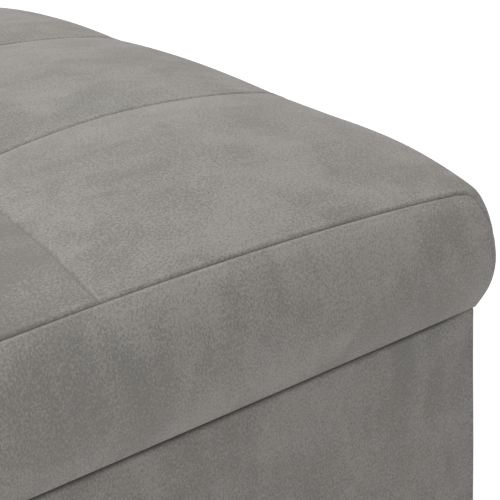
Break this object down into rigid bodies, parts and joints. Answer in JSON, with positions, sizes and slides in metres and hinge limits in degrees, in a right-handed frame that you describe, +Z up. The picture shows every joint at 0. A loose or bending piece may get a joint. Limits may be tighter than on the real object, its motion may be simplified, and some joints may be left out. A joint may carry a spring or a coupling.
{
  "type": "storage ottoman",
  "caption": "Rectangular velvet storage ottoman: upholstered box with a hinged, quilted cushion lid held open by folding stays.",
  "frame": {"origin": "on the floor, under the middle of the box", "axes": "+X along the length to the right end, -Y out of the front, +Y towards the hinged back, +Z up"},
  "size_m": [0.831, 0.4004, 0.3809],
  "materials": {
    "velvet": "light warm-grey velvet with brushed nap marks",
    "plywood": "plain plywood",
    "pine": "sawn softwood",
    "lining_cloth": "black non-woven cloth",
    "dust_cloth": "thin black non-woven cloth",
    "foot_plastic": "moulded black plastic",
    "zinc_screws": "zinc plated",
    "hinge_steel": "zinc plated sheet steel",
    "stay_steel": "zinc plated strip steel",
    "rivet_steel": "bright steel",
    "foam": "open-cell foam",
    "wadding": "polyester fibre",
    "twine": "waxed twine",
    "bumper_rubber": "soft black rubber"
  },
  "bodies": {
    "base": {"front_panel": "plywood", "back_panel": "plywood", "left_panel": "plywood", "right_panel": "plywood", "floor_panel": "plywood", "corner_block_front_left": "pine", "corner_block_front_right": "pine", "corner_block_back_left": "pine", "corner_block_back_right": "pine", "floor_cleat_front": "pine", "floor_cleat_back": "pine", "floor_cleat_left": "pine", "floor_cleat_right": "pine", "base_cover": "velvet", "storage_liner": "lining_cloth", "dust_cover": "dust_cloth", "foot_front_left": "foot_plastic", "foot_front_right": "foot_plastic", "foot_back_left": "foot_plastic", "foot_back_right": "foot_plastic", "frame_screws": "zinc_screws", "foot_screws": "zinc_screws", "hinge_base_screws": "zinc_screws", "stay_base_screws": "zinc_screws", "hinge_base_leaf_left": "hinge_steel", "hinge_base_leaf_right": "hinge_steel", "hinge_pin_left": "hinge_steel", "hinge_pin_right": "hinge_steel", "stay_base_bracket_left": "stay_steel", "stay_base_bracket_right": "stay_steel", "stay_base_rivet_left": "rivet_steel", "stay_base_rivet_right": "rivet_steel"},
    "lid": {"lid_board": "plywood", "seat_cover_top": "velvet", "seat_cover_left": "velvet", "seat_cover_right": "velvet", "lid_liner": "lining_cloth", "hinge_lid_screws": "zinc_screws", "stay_lid_screws": "zinc_screws", "hinge_lid_leaf_left": "hinge_steel", "hinge_lid_leaf_right": "hinge_steel", "stay_lid_bracket_left": "stay_steel", "stay_lid_bracket_right": "stay_steel", "stay_lid_rivet_left": "rivet_steel", "stay_lid_rivet_right": "rivet_steel", "seat_foam": "foam", "seat_wadding": "wadding", "tuft_ties": "twine", "lid_bumpers": "bumper_rubber"},
    "stay_lower_left": {"stay_lower_arm_left": "stay_steel", "stay_elbow_rivets_left": "rivet_steel"},
    "stay_upper_left": {"stay_upper_arm_left": "stay_steel"},
    "stay_lower_right": {"stay_lower_arm_right": "stay_steel", "stay_elbow_rivets_right": "rivet_steel"},
    "stay_upper_right": {"stay_upper_arm_right": "stay_steel"}
  },
  "joints": [
    {"name": "lid_hinge", "type": "hinge", "parent": "base", "child": "lid", "pos_m": [0, 0.1936, 0.2814], "axis": [-1, 0, 0], "range_deg": [0, 95]},
    {"name": "stay_base_pivot_left", "type": "hinge", "parent": "base", "child": "stay_lower_left", "pos_m": [-0.3825, 0.0936, 0.2114], "axis": [-1, 0, 0], "range_deg": [0, 95]},
    {"name": "stay_elbow_left", "type": "hinge", "parent": "stay_lower_left", "child": "stay_upper_left", "pos_m": [-0.3825, -0.0564, 0.1974], "axis": [1, 0, 0], "range_deg": [0, 95]},
    {"name": "stay_base_pivot_right", "type": "hinge", "parent": "base", "child": "stay_lower_right", "pos_m": [0.3825, 0.0936, 0.2114], "axis": [-1, 0, 0], "range_deg": [0, 95]},
    {"name": "stay_elbow_right", "type": "hinge", "parent": "stay_lower_right", "child": "stay_upper_right", "pos_m": [0.3825, -0.0564, 0.1974], "axis": [1, 0, 0], "range_deg": [0, 95]}
  ],
  "couplings": [
    {"joint": "stay_base_pivot_left", "follows": "lid_hinge", "ratio": 1},
    {"joint": "stay_elbow_left", "follows": "lid_hinge", "ratio": 1},
    {"joint": "stay_base_pivot_right", "follows": "lid_hinge", "ratio": 1},
    {"joint": "stay_elbow_right", "follows": "lid_hinge", "ratio": 1}
  ]
}
